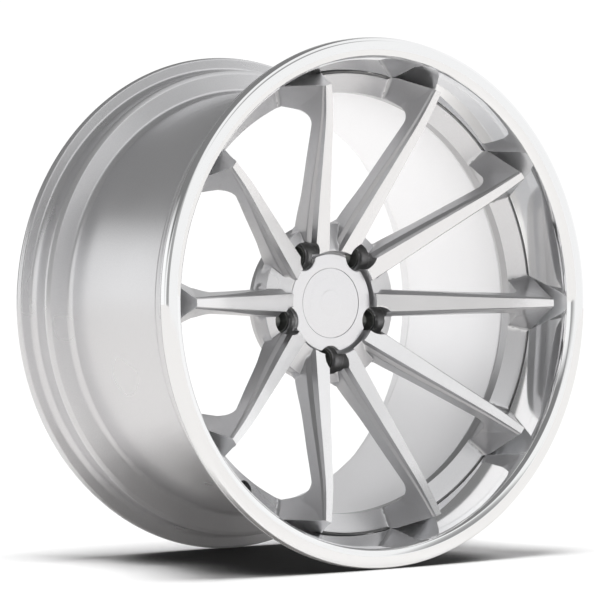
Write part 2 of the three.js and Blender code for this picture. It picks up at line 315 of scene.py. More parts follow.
def spoke_field(x, y, depth):
    """One spoke with the flared foot that carries its tip on the outer ring."""
    across = np.abs(y)
    face = smooth_table(x, SPOKE_STATIONS, "face")
    half = smooth_table(x, SPOKE_STATIONS, "half")
    drop = smooth_table(x, SPOKE_STATIONS, "drop")
    ledge = smooth_table(x, SPOKE_STATIONS, "ledge")
    back = smooth_table(x, SPOKE_STATIONS, "back")
    back_half = smooth_table(x, SPOKE_STATIONS, "back_half")
    shoulder = (half + FACET_RUN, face + drop)
    brow = (shoulder[0] + ledge, shoulder[1] + ledge)
    facet = line_field(across, depth, shoulder, (half, face))
    crest = np.maximum(spoke_face(x, depth), facet)
    slope = (across - shoulder[0] - (depth - shoulder[1])) * math.sqrt(0.5)
    wall = line_field(across, depth, (back_half, back), brow)
    lower = round_edge(slope, round_edge(wall, across - FOOT_HALF, 2), 0.3)
    lower = np.maximum(lower, shoulder[1] - depth)
    belly = (depth - back) * BELLY_COSINE
    arch = line_field(x, depth, (FOOT_ARCH_R, FOOT_ARCH_DEPTH), (SHELF_R, SHELF_DEPTH))
    profile = blend_corner(belly, arch, ARCH_RADIUS)
    end_wall = (x - end_wall_radius(depth)) * WALL_COSINE
    return round_edge(np.minimum(crest, lower), np.maximum(profile, end_wall), 0.5)


def shelf_field(r, depth):
    """Distance behind the ring's sloping shelf."""
    return line_field(r, depth, (SHELF_R, SHELF_DEPTH), (RING_R, RING_DEPTH))


def ring_field(r, depth):
    """The outer ring with its sloping shelf."""
    return round_edge(np.maximum(-shelf_field(r, depth), SHELF_R - r), ring_back(r, depth), 0.4)


def ring_back(r, depth):
    """Everything in front of the ring's tyre-side surfaces."""
    slant = line_field(r, depth, RING_HEEL, (RING_R, 57))
    heel = line_field(r, depth, (226.2, 75.8), RING_HEEL)
    return np.maximum.reduce([slant, heel, r - RING_R, depth - RING_END_DEPTH])


def web_depth(r):
    """Depth of the hub's dished front between the spokes."""
    return 93 + (r - RECESS_R) * 6 / (WEB_R - RECESS_R)


def hub_field(r, depth):
    """The hub pad, with its mounting face at the back."""
    side = np.maximum(r - WEB_R, line_field(r, depth, (79, HUB_FACE_DEPTH), (WEB_R, 121)))
    ends = np.maximum((web_depth(r) - depth) * WALL_COSINE, depth - HUB_FACE_DEPTH)
    return round_edge(side, ends, 1.2)


def lug_distance(x, y):
    """Distance from the axis of the bolt pocket on a wedge's -y side."""
    angle = math.radians(FIRST_LUG_DEG)
    return np.hypot(x - LUG_CIRCLE_R * math.cos(angle), y - LUG_CIRCLE_R * math.sin(angle))


def disc_field(x, y, depth):
    """Centre disc round one spoke along +x, with a bolt pocket on its -y side."""
    r = np.hypot(x, y)
    spoke = spoke_field(x, y, depth)
    share = np.clip((depth - web_depth(r)) / 8, 0, 1)
    corner = WEB_CORNER_R + (WINDOW_CORNER_R - WEB_CORNER_R) * share
    body = blend_corner(spoke, hub_field(r, depth), corner)
    rim = blend_corner(np.maximum(spoke, ring_back(r, depth)), ring_field(r, depth), 3)
    body = np.where(r > 150, rim, body)
    body = round_edge(body, -np.maximum(r - RECESS_R, depth - RECESS_DEPTH), 0.4)
    q = lug_distance(x, y)
    body = round_edge(body, -np.maximum(q - LUG_POCKET_R, depth - LUG_SEAT_DEPTH), 0.6)
    body = np.maximum(body, -np.maximum(q - LUG_SEAT_BORE_R, depth - LUG_SEAT_END))
    body = np.maximum(body, LUG_HOLE_R - q)
    body = np.maximum(body, CAP_BORE_R - r)
    body = round_edge(body, -np.maximum(r - HUB_BORE_R, HUB_BORE_DEPTH - depth), 0.3)
    return np.maximum(body, -np.maximum(r - HUB_RING_BORE_R, HUB_RING_DEPTH - depth))


def cap_field(x, y, depth):
    """Centre cap cover round one spoke along +x, scalloped by the bolt pocket on its -y side."""
    r = np.hypot(x, y)
    rim = round_edge(r - CAP_R, LUG_POCKET_R + 0.3 - lug_distance(x, y), 1.5)
    plate = round_edge(rim, CAP_DEPTH - depth, 1.2)
    plate = np.maximum(plate, depth - CAP_PLATE_END)
    seat = np.maximum(r - EMBLEM_R - 0.5, depth - CAP_DEPTH - 2)
    return np.maximum(round_edge(plate, -seat, 0.35), CAP_COVER_INNER_R - r)


# ---------------------------------------------------------------- surface of a field
def crossings(field, low, high, f_low, f_high):
    """Points where the field is zero between pairs of points, and its gradient there."""
    for _ in range(4):
        share = np.clip(f_low / (f_low - f_high), 0.02, 0.98)[:, None]
        point = low + (high - low) * share
        value = field(*point.T)
        outside = (value > 0) == (f_low > 0)
        low = np.where(outside[:, None], point, low)
        high = np.where(outside[:, None], high, point)
        f_low = np.where(outside, value, f_low)
        f_high = np.where(outside, f_high, value)
    share = (f_low / (f_low - f_high))[:, None]
    point = low + (high - low) * share
    step = 0.02
    slopes = [field(*(point + step * e).T) - field(*(point - step * e).T) for e in np.eye(3)]
    normal = np.stack(slopes, axis=1)
    return point, normal / np.maximum(np.linalg.norm(normal, axis=1, keepdims=True), 1e-9)


def held_in_cells(found, cell, grid):
    """Moves points back to the grid cells that they belong to."""
    radii, angles, depths = grid
    i, j, k = cell.T
    near, far = radii[i, 0, 0], radii[i + 1, 0, 0]
    r = np.clip(np.hypot(found[:, 0], found[:, 1]), near, far)
    f = (r - near) / (far - near)
    first = (1 - f) * angles[i, j, 0] + f * angles[i + 1, j, 0]
    last = (1 - f) * angles[i, j + 1, 0] + f * angles[i + 1, j + 1, 0]
    t = np.clip(np.arctan2(found[:, 1], found[:, 0]), first, last)
    g = (t - first) / (last - first)

    def level(n):
        front = (1 - g) * depths[i, j, n] + g * depths[i, j + 1, n]
        behind = (1 - g) * depths[i + 1, j, n] + g * depths[i + 1, j + 1, n]
        return (1 - f) * front + f * behind

    depth = np.clip(found[:, 2], level(k), level(k + 1))
    return np.stack([r * np.cos(t), r * np.sin(t), depth], axis=1)


def cells_around(edges, axis, shape):
    """Numbers of the four cells round each grid edge along an axis, or -1 where the grid ends."""
    b, c = (axis + 1) % 3, (axis + 2) % 3
    around = []
    for db, dc in ((-1, -1), (0, -1), (0, 0), (-1, 0)):
        cell = edges.copy()
        cell[:, b] += db
        cell[:, c] += dc
        inside = np.all((cell >= 0) & (cell < shape), axis=1)
        nearest = np.clip(cell, 0, np.array(shape) - 1)
        around.append(np.where(inside, np.ravel_multi_index(nearest.T, shape), -1))
    return np.stack(around, axis=1)


def open_pairs(around):
    """The two cells, in order, of each edge that has cells on one side only."""
    around = around[(around < 0).sum(axis=1) == 2]
    missing = around < 0
    first = np.argmax(~missing & np.roll(missing, 1, axis=1), axis=1)
    rows = np.arange(len(around))
    return np.stack([around[rows, first], around[rows, (first + 1) % 4]], axis=1)


def contour(field, grid):
    """Dual contour of a field over a grid of radii, angles and depths: cell points, inner quads,
    and the pairs of cells that meet the next wedge at the first and at the last angle."""
    r, t, d = grid
    places = np.stack([r * np.cos(t), r * np.sin(t), d], axis=-1)
    values = field(places[..., 0], places[..., 1], places[..., 2])
    values[values == 0] = 1e-9
    shape = tuple(n - 1 for n in values.shape)
    size = int(np.prod(shape))
    matrix = np.zeros((size, 3, 3))
    vector = np.zeros((size, 3))
    total = np.zeros((size, 3))
    count = np.zeros(size)
    quads, seams = [], {0: [], shape[1]: []}
    for axis in range(3):
        ahead = [slice(None)] * 3
        behind = [slice(None)] * 3
        ahead[axis], behind[axis] = slice(1, None), slice(None, -1)
        f0, f1 = values[tuple(behind)], values[tuple(ahead)]
        at = np.argwhere((f0 > 0) != (f1 > 0))
        key = tuple(at.T)
        low, high = places[tuple(behind)][key], places[tuple(ahead)][key]
        point, normal = crossings(field, low, high, f0[key], f1[key])
        around = cells_around(at, axis, shape)
        for number in around.T:
            inside = number >= 0
            keep, n, p = number[inside], normal[inside], point[inside]
            np.add.at(matrix, keep, n[:, :, None] * n[:, None, :])
            np.add.at(vector, keep, n * np.sum(n * p, axis=1, keepdims=True))
            np.add.at(total, keep, p)
            np.add.at(count, keep, 1)
        flip = f0[key] < 0
        around[flip] = around[flip][:, ::-1]
        quads.append(around[np.all(around >= 0, axis=1)])
        if axis != 1:
            for side in seams:
                seams[side].append(open_pairs(around[at[:, 1] == side]))
    used = np.flatnonzero(count)
    middle = total[used] / count[used][:, None]
    pull = matrix[used] + 0.02 * np.eye(3)
    rest = vector[used] - np.einsum("nij,nj->ni", matrix[used], middle)
    found = middle + np.linalg.solve(pull, rest[..., None])[..., 0]
    cell = np.stack(np.unravel_index(used, shape), axis=1)
    found = held_in_cells(found, cell, grid)
    renumber = np.full(size + 1, -1)
    renumber[used] = np.arange(len(used))
    joins = [renumber[np.concatenate(pairs)] for pairs in seams.values()]
    return found, renumber[np.concatenate(quads)], joins


def full_circle(points, quads, seams):
    """Ten copies of a wedge, every second one mirrored, stitched into one closed mesh in the row frame."""
    count = len(points)
    vertices, faces = [], []
    for unit in range(SPOKES):
        mirrored = unit % 2 == 1
        angle = math.radians(unit * 2 * HALF_PITCH_DEG)
        x, y, depth = points.T
        y = -y if mirrored else y
        c, s = math.cos(angle), math.sin(angle)
        vertices.append(np.stack([x * c - y * s, depth + FRONT_Y, x * s + y * c], axis=1))
        own = quads + unit * count
        faces.append(own[:, ::-1] if mirrored else own)
        after = (unit + 1) % SPOKES
        pairs = seams[0 if mirrored else 1]
        seam = np.stack([pairs[:, 0] + unit * count, pairs[:, 1] + unit * count,
                         pairs[:, 1] + after * count, pairs[:, 0] + after * count], axis=1)
        faces.append(seam[:, ::-1] if mirrored else seam)
    return np.concatenate(vertices), np.concatenate(faces)


def steps(*stretches):
    """Grid values over stretches of (start, end, step)."""
    parts = [np.linspace(a, b, max(2, round((b - a) / step) + 1)) for a, b, step in stretches]
    return np.unique(np.concatenate(parts).round(6))


# ---------------------------------------------------------------- material helpers
def material(name, colour, metallic, roughness, coat=0.0):
    """A new material, with its node tree and its shader."""
    made = bpy.data.materials.new(name)
    made.use_nodes = True
    shader = made.node_tree.nodes["Principled BSDF"]
    shader.inputs["Base Color"].default_value = (*colour, 1)
    shader.inputs["Metallic"].default_value = metallic
    shader.inputs["Roughness"].default_value = roughness
    shader.inputs["Coat Weight"].default_value = coat
    shader.inputs["Coat Roughness"].default_value = 0.06
    return made, made.node_tree, shader


def add(tree, kind, **settings):
    """A node, with settings by the names of its properties or of its inputs."""
    node = tree.nodes.new(kind)
    for key, value in settings.items():
        if hasattr(node, key):
            setattr(node, key, value)
        else:
            node.inputs[key.replace("_", " ")].default_value = value
    return node


def noise(tree, scale, detail=2.0, stretch=(1, 1, 1)):
    """Noise in the piece's own coordinates."""
    coordinates = add(tree, "ShaderNodeTexCoord")
    mapping = add(tree, "ShaderNodeMapping")
    mapping.inputs["Scale"].default_value = stretch
    pattern = add(tree, "ShaderNodeTexNoise", Scale=scale, Detail=detail)
    tree.links.new(coordinates.outputs["Object"], mapping.inputs["Vector"])
    tree.links.new(mapping.outputs["Vector"], pattern.inputs["Vector"])
    return pattern.outputs["Fac"]


def spread(tree, source, low, high):
    """Maps a 0-1 pattern to a range of values."""
    ranged = add(tree, "ShaderNodeMapRange")
    ranged.inputs["From Min"].default_value = 0.3
    ranged.inputs["From Max"].default_value = 0.7
    ranged.inputs["To Min"].default_value = low
    ranged.inputs["To Max"].default_value = high
    tree.links.new(source, ranged.inputs["Value"])
    return ranged.outputs["Result"]


def tint(tree, source, low, high):
    """Colour that drifts between two shades with a pattern."""
    ramp = add(tree, "ShaderNodeValToRGB")
    ramp.color_ramp.elements[0].color = (*low, 1)
    ramp.color_ramp.elements[1].color = (*high, 1)
    ramp.color_ramp.elements[0].position = 0.35
    ramp.color_ramp.elements[1].position = 0.65
    tree.links.new(source, ramp.inputs["Fac"])
    return ramp.outputs["Color"]


def bump(tree, shader, source, strength, distance):
    """Raises the surface by a pattern. The distance is in metres."""
    node = add(tree, "ShaderNodeBump")
    node.inputs["Strength"].default_value = strength
    node.inputs["Distance"].default_value = distance
    tree.links.new(source, node.inputs["Height"])
    tree.links.new(node.outputs["Normal"], shader.inputs["Normal"])


# ---------------------------------------------------------------- materials
FLAKE_SCALE = 2600
CLOUD_SCALE = 9


def flake_paint(name, colour, low, high, metallic, roughness, coat):
    """Paint with fine metal flake, and a gloss that drifts slowly between two roughnesses."""
    made, tree, shader = material(name, colour, metallic, sum(roughness) / 2, coat)
    flakes = noise(tree, FLAKE_SCALE, 1)
    tree.links.new(tint(tree, flakes, low, high), shader.inputs["Base Color"])
    tree.links.new(spread(tree, noise(tree, CLOUD_SCALE), *roughness), shader.inputs["Roughness"])
    bump(tree, shader, flakes, 0.08, 0.0001)
    return made


def silver_paint():
    return flake_paint("silver_paint", (0.78, 0.78, 0.79), (0.72, 0.72, 0.735), (0.82, 0.82, 0.83),
                       metallic=0.85, roughness=(0.26, 0.33), coat=0.3)


def shaded_side_paint():
    """Silver for the disc's sides and back, darker than the barrel's silver as painted shade for the walls
    between the spokes.
    """
    return flake_paint("shaded_side_paint", (0.48, 0.48, 0.49), (0.44, 0.44, 0.45), (0.52, 0.52, 0.53),
                       metallic=0.85, roughness=(0.3, 0.38), coat=0.4)


def lit_inner_paint():
    """A lit copy of the silver for inside the barrel, nearly white as painted light."""
    return flake_paint("lit_inner_paint", (0.9, 0.9, 0.91), (0.88, 0.88, 0.89), (0.94, 0.94, 0.95),
                       metallic=0.35, roughness=(0.4, 0.5), coat=0.2)


def machined_silver():
    """Fine-cut aluminium under a clear coat, with the cutter's marks running along Y."""
    made, tree, shader = material("machined_silver", (0.92, 0.92, 0.93), 0.85, 0.22, coat=0.3)
    marks = noise(tree, 900, 2, (1, 0.05, 1))
    tree.links.new(tint(tree, marks, (0.89, 0.89, 0.9), (0.94, 0.94, 0.95)), shader.inputs["Base Color"])
    tree.links.new(spread(tree, noise(tree, 14), 0.18, 0.26), shader.inputs["Roughness"])
    bump(tree, shader, marks, 0.08, 0.0001)
    return made


def chrome():
    made, tree, shader = material("chrome", (0.93, 0.935, 0.94), 1.0, 0.035)
    tree.links.new(spread(tree, noise(tree, 7), 0.025, 0.055), shader.inputs["Roughness"])
    bump(tree, shader, noise(tree, 22, 1), 0.05, 0.0002)
    return made


# Steel for the bolt pockets' seat rings; its near-black colour is partly painted shade for the deep pockets.
def dark_steel():
    made, tree, shader = material("dark_steel", (0.12, 0.125, 0.12), 0.9, 0.35)
    lines = noise(tree, 1400, 2, (1, 0.1, 1))
    tree.links.new(tint(tree, lines, (0.09, 0.095, 0.09), (0.17, 0.175, 0.165)), shader.inputs["Base Color"])
    bump(tree, shader, lines, 0.15, 0.0001)
    return made


def cap_silver():
    made, tree, shader = material("cap_silver", (0.9, 0.9, 0.92), 0.8, 0.3, coat=0.4)
    flakes = noise(tree, 2400, 1)
    tree.links.new(tint(tree, flakes, (0.88, 0.88, 0.9), (0.95, 0.95, 0.97)), shader.inputs["Base Color"])
    bump(tree, shader, flakes, 0.05, 0.0001)
    return made


def bare_aluminium():
    made, tree, shader = material("bare_aluminium", (0.6, 0.6, 0.61), 1.0, 0.35)
    lines = noise(tree, 1200, 2, (1, 8, 1))
    tree.links.new(tint(tree, lines, (0.52, 0.52, 0.53), (0.66, 0.66, 0.67)), shader.inputs["Base Color"])
    bump(tree, shader, lines, 0.12, 0.0001)
    return made


def plain_metal(name, low, high, roughness):
    """Bright metal with a fine grain."""
    made, tree, shader = material(name, low, 1.0, roughness)
    tree.links.new(tint(tree, noise(tree, 700), low, high), shader.inputs["Base Color"])
    bump(tree, shader, noise(tree, 2200), 0.1, 0.0001)
    return made


def dull(name, low, high, roughness):
    """Rubber or cured adhesive, matt and a little uneven."""
    made, tree, shader = material(name, low, 0.0, roughness)
    tree.links.new(tint(tree, noise(tree, 500), low, high), shader.inputs["Base Color"])
    bump(tree, shader, noise(tree, 1800), 0.25, 0.0002)
    return made


SILVER = silver_paint()
SHADED_SIDE_PAINT = shaded_side_paint()
LIT_INNER_PAINT = lit_inner_paint()
MACHINED = machined_silver()
CHROME = chrome()
SHADED_STEEL = dark_steel()
CAP_SILVER = cap_silver()
ALUMINIUM = bare_aluminium()
SPRING_STEEL = plain_metal("spring_steel", (0.4, 0.4, 0.42), (0.55, 0.55, 0.57), 0.25)
BRASS = plain_metal("brass", (0.55, 0.38, 0.14), (0.66, 0.47, 0.2), 0.3)
BLACK = plain_metal("black_anodised", (0.02, 0.02, 0.022), (0.035, 0.035, 0.038), 0.4)
RUBBER = dull("rubber", (0.012, 0.012, 0.013), (0.03, 0.03, 0.03), 0.7)
ADHESIVE = dull("adhesive", (0.22, 0.22, 0.23), (0.3, 0.3, 0.31), 0.75)

# ---------------------------------------------------------------- barrel
BARREL = [
    (267.2, 2.1, 1), (269.4, 4.9, 1.5), (269.4, 9.6, 0.3), (FLANGE_R, 9.9, 0.4), (FLANGE_R, 12.2, 1),
    (258, 14, 3), (BEAD_R, 19, 3), (BEAD_R, 37, 4), (BEAD_R + 1.4, 41, 3), (253.8, 46, 4),
    (230, 77, 9), (DROP_R, 82, 6), (DROP_R, 239, 6), (232, 244, 6), (250.5, 248.5, 3),
    (BEAD_R + 1.4, 252, 2.5), (BEAD_R, 256.5, 4), (BEAD_R, 271, 6), (258, 276, 5),
    (FLANGE_R - 2, 277.5, 3), (FLANGE_R, 281, 5), (FLANGE_R - 1.5, 286, 4), (266, WIDTH, 3.5),
    (249, WIDTH, 2), (247, 286, 3), (247.5, 262, 6), (245, 255.5, 6), (226, 249.5, 6),
    (DROP_INNER_R, 243, 8), (DROP_INNER_R, 84, 5), (226, 77.5, 2), (229.9, 70.6, 1),
    (240.6, 57.4, 0.4), (240.6, 55.4, 0.4), (241.9, 54.4, 0.4), (250.5, 12.5, 2), (252, 6.7, 2),
    (254.2, 3.6, 1), (258, 2.1, 1), (260, 2.1), (260, 3.4), (264, 3.4), (264, 2.1),
]


def lathe(name, outline, body, surface, segments=ROUND, closed=True, matrix=None, nodes=None):
    """A turned piece that stands for the CAD nodes, by default the one of its own name."""
    vertices, faces = revolved(rounded(outline, closed), segments, closed)
    if matrix is not None:
        vertices = moved(vertices, matrix)
    nodes = [name.removesuffix("_fine")] if nodes is None else nodes
    return new_object(name, vertices, faces, body, surface, nodes)


def valve_frame():
    """Matrix from a frame whose depth axis runs from the shelf towards the tyre side of the valve."""
    joint = next(j for j in frame["joints"] if j["name"] == "dust_cap_unscrew")
    along = -Vector(joint["axis"]).normalized()
    side = Vector((0, 1, 0)).cross(along).normalized()
    third = side.cross(along)
    basis = Matrix((side, along, third)).transposed().to_4x4()
    start = Vector(joint["pos_m"]) / MM
    basis.translation = start - along * FRONT_Y
    return basis


def polygon_centres(mesh):
    """Centres of a mesh's polygons as (x, depth, z) in millimetres."""
    centres = np.zeros(len(mesh.polygons) * 3)
    mesh.polygons.foreach_get("center", centres)
    x, y, z = (centres.reshape(-1, 3) / MM).T
    return x, y - FRONT_Y, z


def painted_light_inside(piece):
    """Gives the barrel's inner surface, behind the disc, the brighter paint that is painted light."""
    mesh = piece.data
    mesh.materials.append(LIT_INNER_PAINT)
    x, depth, z = polygon_centres(mesh)
    normals = np.zeros(len(mesh.polygons) * 3)
    mesh.polygons.foreach_get("normal", normals)
    nx, _, nz = normals.reshape(-1, 3).T
    # Painted light: inward-facing polygons behind the disc take the lit copy of the paint.
    inside = (x * nx + z * nz < 0) & (depth > 60)
    mesh.polygons.foreach_set("material_index", inside.astype(np.int32))


barrel = lathe("barrel_fine", BARREL, "wheel", SILVER)

# ---------------------------------------------------------------- lip cover
CHROME_LIP = [
    (LIP_END_R, LIP_END_DEPTH), (248.4, 12, 12), (250, 6, 5), (252.6, 2.2, 3), (257.5, 0, 4),
    (267, 0, 4), (270, 1.4, 2), (FLANGE_R, 4.4, 2), (FLANGE_R, 9.2, 0.3),
    (269.9, 9.2, 0.2), (269.9, 4.5, 1), (267.5, 1.6, 1), (257.8, 1.6, 3), (253.8, 3.2, 2),
    (251.5, 6.4, 4), (250, 12.3, 10), (LIP_END_R + SHEET, LIP_END_DEPTH),
]
lathe("chrome_lip_fine", CHROME_LIP, "wheel", CHROME)
lathe("lip_adhesive_fine", [(260.3, 1.95, 0.3), (263.7, 1.95, 0.3), (263.7, 3.1, 0.3), (260.3, 3.1, 0.3)],
      "wheel", ADHESIVE)


# ---------------------------------------------------------------- centre disc
def wedge_piece(name, field, grid, surface, nodes, body="wheel"):
    """A piece that repeats round the wheel, made from its distance field."""
    points, quads, seams = contour(field, grid)
    vertices, faces = full_circle(points, quads, seams)
    return new_object(name, vertices, faces.tolist(), body, surface, nodes)


def plain_grid(radii, depths, angle_step):
    """An even grid over one wedge."""
    angles = np.radians(steps((-HALF_PITCH_DEG, HALF_PITCH_DEG, angle_step)))
    return np.meshgrid(radii, angles, depths, indexing="ij")


def between(features, counts, margins):
    """Grid lines in the stretches between features. Each inner feature keeps a margin on both sides."""
    lines = []
    for i, count in enumerate(counts):
        start = features[i] + margins[i]
        end = features[i + 1] - margins[i + 1]
        lines += [start + (end - start) * n / count for n in range(count + 1)]
    return lines


GRID_FRONT = 4
GRID_BEHIND = 64


def spoke_grid(radii):
    """A grid whose lines follow the spoke's edges, so that no edge wanders from cell to cell."""
    inner = np.maximum(radii, RECESS_R)

    def turn(distance):
        return np.arcsin(distance / inner)

    half = smooth_table(inner, SPOKE_STATIONS, "half")
    brow_half = half + FACET_RUN + smooth_table(inner, SPOKE_STATIONS, "ledge")
    wall_half = np.maximum(smooth_table(inner, SPOKE_STATIONS, "back_half"), brow_half + 0.7)
    middle = np.zeros(len(radii))
    edge = np.full(len(radii), math.radians(HALF_PITCH_DEG))
    features = [middle, turn(half), turn(half + FACET_RUN), turn(brow_half), turn(wall_half),
                turn(FOOT_HALF + 0.4), edge]
    margins = [0] + [0.2 / inner] * 3 + [0.25 / inner] * 2 + [0]
    right = between(features, (12, 2, 5, 2, 2, 16), margins)
    turns = np.stack([-line for line in right[:0:-1]] + right, axis=1)
    off = np.minimum(inner[:, None] * np.abs(np.sin(turns)), FOOT_HALF)
    x = np.sqrt(inner[:, None] ** 2 - off ** 2)
    face = smooth_table(x, SPOKE_STATIONS, "face")
    brow = face + smooth_table(x, SPOKE_STATIONS, "drop")
    foot = brow + smooth_table(x, SPOKE_STATIONS, "ledge")
    back = np.maximum(smooth_table(x, SPOKE_STATIONS, "back"), foot + 2)
    features = [face - GRID_FRONT, face, brow, foot, back, back + GRID_BEHIND]
    levels = between(features, (3, 6, 3, 14, 54), [0, 0.25, 0.25, 0.2, 0.4, 0])
    depths = np.stack(levels, axis=2)
    shape = depths.shape
    return (np.broadcast_to(radii[:, None, None], shape), np.broadcast_to(turns[:, :, None], shape), depths)


def machined_faces_and_painted_shade(piece):
    """Machined finish on the spokes' faces, and the barrel's silver on the shelf, the hub's front and the
    tips. The other surfaces keep the darker side silver as painted shade.
    """
    piece.data.materials.append(MACHINED)
    piece.data.materials.append(SILVER)
    machined, light = 1, 2
    x, depth, z = polygon_centres(piece.data)
    pitch = math.radians(2 * HALF_PITCH_DEG)
    angle = (np.arctan2(z, x) + pitch / 2) % pitch - pitch / 2
    r = np.hypot(x, z)
    along, across = r * np.cos(angle), r * np.sin(angle)
    half = smooth_table(along, SPOKE_STATIONS, "half")
    on_face = (np.abs(spoke_face(along, depth)) < 0.12) & (np.abs(across) < half + 0.1)
    on_shelf = (np.abs(shelf_field(r, depth)) < 0.2) & (r > SHELF_R)
    on_web = (np.abs(web_depth(r) - depth) < 0.3) & (r < WEB_R)
    on_end = along > end_wall_radius(depth) - 0.3
    # Painted shade: polygons off the faces, shelf, web and tips keep the darker side silver.
    slots = np.where(on_shelf | on_web | on_end, light, on_face * machined)
    piece.data.polygons.foreach_set("material_index", slots.astype(np.int32))


def centre_disc():
    """The forged disc, with the valve's recess cut through its ring."""
    radii = steps((35, 58, 1.15), (58, 96, 1.9), (96, 200, 3.5), (200, 241.5, 1.3))
    # The disc starts in the darker side silver, which is painted shade on its walls.
    piece = wedge_piece("centre_disc_fine", disc_field, spoke_grid(radii), SHADED_SIDE_PAINT,
                        ["centre_disc"])
    cut(piece, *valve_cutter(VALVE_COUNTERBORE_R, -14, 20))
    machined_faces_and_painted_shade(piece)


WELD = [(225.3, 76.9, 0.4), (220.9, 76.7, 0.4), (220.7, 78.5, 1), (222.0, 82.6, 0.3)]
WELD_FACE_R = 222.3
WELD_RIPPLES = 480
RIPPLE_HEIGHT = 0.12


def weld_seam():
    """A bead with the ripples of a weld run."""
    vertices, faces = revolved(rounded(WELD), 720)
    points = np.array(vertices)
    angle = np.arctan2(points[:, 2], points[:, 0])
    r = np.hypot(points[:, 0], points[:, 2])
    ripple = RIPPLE_HEIGHT * np.abs(np.sin(angle * WELD_RIPPLES / 2))
    points[:, [0, 2]] *= np.where(r < WELD_FACE_R, 1 + ripple / 221, 1)[:, None]
    new_object("weld_seam_fine", points, faces, "wheel", ALUMINIUM, ["weld_seam"])


# ---------------------------------------------------------------- hub fittings
LUG_SEAT = [
    (11.2, 112.4, 0.4), (13.25, 112.4, 0.4), (13.25, 127.6, 0.5), (7.25, 127.6, 0.3), (7.25, 119, 0.8),
]
HUB_RING = [
    (36.28, 121, 0.4), (38.55, 121, 0.5), (38.55, 132.9, 0.3), (41.1, 132.9, 0.2), (41.1, 134.2, 0.3),
    (36.28, 134.2, 0.4),
]


def lug_seats():
    """The steel rings in the bolt pockets, near-black partly as painted shade of the deep pockets."""
    vertices, faces = revolved(rounded(LUG_SEAT), SMALL_ROUND)
    for i, (x, z) in enumerate(lug_places(), 1):
        node = f"lug_seat_{i}"
        points = np.array(vertices) + [x, 0, z]
        new_object(f"{node}_fine", points, faces, "wheel", SHADED_STEEL, [node])


# ---------------------------------------------------------------- centre cap
CAP_SKIRT = [(33.2, 101.5), (35.6, 101.5), (35.6, 115, 0.6), (33.2, 115, 0.6)]
CAP_LEGS = 6
LEG_GAP = 9
LEG_GAP_DEPTH = 110.5


def centre_cap():
    """The scalloped cover, the plate behind its badge and the ring of snap legs."""
    grid = plain_grid(steps((30, 34, 1), (34, 53, 0.8)), steps((96, 103, 0.5)), 0.6)
    wedge_piece("cap_cover", cap_field, grid, CAP_SILVER, ["cap_shell"], "centre_cap")
    lathe("cap_backing", [(0, 99), (EMBLEM_R - 0.5, 99, 0.3), (EMBLEM_R - 0.5, 102.4, 0.3), (0, 102.4)],
          "centre_cap", CAP_SILVER, SMALL_ROUND, False, nodes=["cap_shell"])
    legs = lathe("cap_snap_legs", CAP_SKIRT, "centre_cap", CAP_SILVER, 144, nodes=["cap_shell"])
    for i in range(CAP_LEGS):
        turn = (i + 0.5) * 2 * math.pi / CAP_LEGS
        cut(legs, *box_cutter((34, LEG_GAP_DEPTH, 0), (12, 12, LEG_GAP), turn))


def box_cutter(centre, size, turn):
    """A box in (x, depth, z), turned about the wheel's axis."""
    corners = np.array([(i, j, k) for i in (-0.5, 0.5) for j in (-0.5, 0.5) for k in (-0.5, 0.5)])
    corners = corners * size + centre + [0, FRONT_Y, 0]
    faces = [(0, 1, 3, 2), (4, 6, 7, 5), (0, 4, 5, 1), (2, 3, 7, 6), (0, 2, 6, 4), (1, 5, 7, 3)]
    return moved(corners, Matrix.Rotation(turn, 4, "Y")), faces


def cap_emblem():
    """A plain disc with two faint turned steps in place of a badge."""
    front = CAP_DEPTH
    outline = [
        (0, front - 0.1), (13, front - 0.1, 0.5), (14, front + 0.1, 0.5), (26, front + 0.1, 0.5),
        (27, front + 0.2, 0.5), (EMBLEM_R, front + 0.2, 0.4), (EMBLEM_R, front + 1.6), (0, front + 1.6),
    ]
    lathe("cap_emblem_fine", outline, "centre_cap", CAP_SILVER, 144, False)


def ring_outline(radius, depth, wire_r, count=12):
    """Outline of a ring of round wire."""
    turns = [2 * math.pi * i / count for i in range(count)]
    return [(radius + wire_r * math.cos(t), depth + wire_r * math.sin(t)) for t in turns]


# ---------------------------------------------------------------- tyre valve
def valve_cutter(radius, near, far):
    """A cylinder along the valve, between two depths from the shelf."""
    vertices, faces = cylinder(radius, near, far)
    return moved(vertices, valve_frame()), faces


def valve_piece(name, outline, body, surface, closed=True, segments=SMALL_ROUND):
    """A piece turned about the valve's own axis."""
    lathe(f"{name}_fine", outline, body, surface, segments, closed, valve_frame())


def knurled(vertices, radius, count, height):
    """Shallow grip ridges on the points at a radius from the Y axis."""
    points = np.array(vertices)
    angle = np.arctan2(points[:, 2], points[:, 0])
    r = np.hypot(points[:, 0], points[:, 2])
    cut_in = np.where(r > radius - 0.05, height * (0.5 - 0.5 * np.cos(angle * count)), 0)
    points[:, [0, 2]] *= (1 - cut_in / np.maximum(r, 1))[:, None]
    return points


SPRING_R = 1.17
SPRING_WIRE_R = 0.2
SPRING_NEAR = 2.7
SPRING_FAR = 7.5
SPRING_TURNS = 6
SPRING_END_PITCH = 0.42
WIRE_SIDES = 12
STEPS_A_TURN = 32


